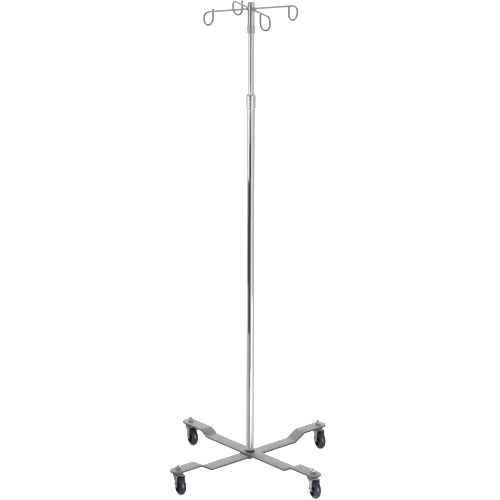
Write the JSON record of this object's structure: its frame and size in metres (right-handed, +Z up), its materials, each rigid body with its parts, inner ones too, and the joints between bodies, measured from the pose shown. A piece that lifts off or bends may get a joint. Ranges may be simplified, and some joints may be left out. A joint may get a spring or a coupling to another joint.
{
  "type": "infusion stand",
  "caption": "Wheeled infusion stand: telescoping chrome pole with twist-lock collar, lift-off head with pigtail bag hooks, and a low cross base on swivel casters.",
  "frame": {"origin": "on the floor, under the pole's axis", "axes": "+Z up along the pole; the four legs point along the diagonals between the X and Y axes"},
  "size_m": [0.4632, 0.4767, 1.4799],
  "materials": {
    "leg_paint": "silver-vein textured powder coat, semi-gloss",
    "chrome_tube": "polished",
    "chrome_wire": "polished",
    "satin_nickel": "satin, turned",
    "bright_fastener": "bright zinc, semi-gloss",
    "zinc_plate": "zinc plated, satin",
    "ball_steel": "polished",
    "black_steel": "blackened",
    "dark_nylon": "matt",
    "black_plastic": "matt",
    "white_nylon": "matt",
    "hub_plastic": "semi-matt moulded",
    "tyre_rubber": "smooth, semi-gloss"
  },
  "bodies": {
    "base": {"upper_leg_bar": "leg_paint", "lower_leg_bar": "leg_paint", "base_bolt": "bright_fastener", "base_flat_washer": "bright_fastener", "base_lock_washer": "bright_fastener", "foot_plug": "bright_fastener", "foot_ring": "black_steel", "lower_tube": "chrome_tube", "collar_ferrule": "satin_nickel", "collet": "dark_nylon", "caster_stems": "zinc_plate", "upper_races": "zinc_plate", "stem_nuts": "bright_fastener", "stem_lock_washers": "bright_fastener"},
    "twist_collar": {"lock_collar": "chrome_tube", "collar_wiper": "black_plastic"},
    "slide_guide": {"guide_bushing": "white_nylon"},
    "inner_pole": {"inner_tube": "chrome_tube", "inner_tube_plug": "dark_nylon"},
    "head": {"head_tube": "chrome_tube", "head_plug": "black_plastic", "head_sleeve": "satin_nickel", "hook_1": "chrome_wire", "hook_2": "chrome_wire", "hook_3": "chrome_wire", "hook_4": "chrome_wire"},
    "caster_rf": {"fork_rf": "zinc_plate", "swivel_balls_rf": "ball_steel", "axle_rf": "zinc_plate", "axle_nut_rf": "zinc_plate", "axle_sleeve_rf": "zinc_plate"},
    "wheel_rf": {"hub_rf": "hub_plastic", "tyre_rf": "tyre_rubber"},
    "caster_rb": {"fork_rb": "zinc_plate", "swivel_balls_rb": "ball_steel", "axle_rb": "zinc_plate", "axle_nut_rb": "zinc_plate", "axle_sleeve_rb": "zinc_plate"},
    "wheel_rb": {"hub_rb": "hub_plastic", "tyre_rb": "tyre_rubber"},
    "caster_lb": {"fork_lb": "zinc_plate", "swivel_balls_lb": "ball_steel", "axle_lb": "zinc_plate", "axle_nut_lb": "zinc_plate", "axle_sleeve_lb": "zinc_plate"},
    "wheel_lb": {"hub_lb": "hub_plastic", "tyre_lb": "tyre_rubber"},
    "caster_lf": {"fork_lf": "zinc_plate", "swivel_balls_lf": "ball_steel", "axle_lf": "zinc_plate", "axle_nut_lf": "zinc_plate", "axle_sleeve_lf": "zinc_plate"},
    "wheel_lf": {"hub_lf": "hub_plastic", "tyre_lf": "tyre_rubber"}
  },
  "joints": [
    {"name": "collar_twist", "type": "hinge", "parent": "base", "child": "twist_collar", "pos_m": [0, 0, 1.18], "axis": [0, 0, 1], "range_deg": [0, 90]},
    {"name": "height_slide", "type": "slide", "parent": "base", "child": "slide_guide", "axis": [0, 0, 1], "range_m": [-0.185, 0.75]},
    {"name": "pole_turn", "type": "hinge", "parent": "slide_guide", "child": "inner_pole", "pos_m": [0, 0, 1], "axis": [0, 0, 1], "continuous": true},
    {"name": "head_lift", "type": "slide", "parent": "inner_pole", "child": "head", "axis": [0, 0, 1], "range_m": [0, 0.08]},
    {"name": "swivel_rf", "type": "hinge", "parent": "base", "child": "caster_rf", "pos_m": [0.20506, -0.20506, 0.06], "axis": [0, 0, 1], "continuous": true},
    {"name": "spin_rf", "type": "hinge", "parent": "caster_rf", "child": "wheel_rf", "pos_m": [0.21233, -0.21818, 0.03], "axis": [0.8746, 0.4848, 0], "continuous": true},
    {"name": "swivel_rb", "type": "hinge", "parent": "base", "child": "caster_rb", "pos_m": [0.20506, 0.20506, 0.06], "axis": [0, 0, 1], "continuous": true},
    {"name": "spin_rb", "type": "hinge", "parent": "caster_rb", "child": "wheel_rb", "pos_m": [0.21233, 0.19194, 0.03], "axis": [0.8746, 0.4848, 0], "continuous": true},
    {"name": "swivel_lb", "type": "hinge", "parent": "base", "child": "caster_lb", "pos_m": [-0.20506, 0.20506, 0.06], "axis": [0, 0, 1], "continuous": true},
    {"name": "spin_lb", "type": "hinge", "parent": "caster_lb", "child": "wheel_lb", "pos_m": [-0.19779, 0.19194, 0.03], "axis": [0.8746, 0.4848, 0], "continuous": true},
    {"name": "swivel_lf", "type": "hinge", "parent": "base", "child": "caster_lf", "pos_m": [-0.20506, -0.20506, 0.06], "axis": [0, 0, 1], "continuous": true},
    {"name": "spin_lf", "type": "hinge", "parent": "caster_lf", "child": "wheel_lf", "pos_m": [-0.19779, -0.21818, 0.03], "axis": [0.8746, 0.4848, 0], "continuous": true}
  ]
}
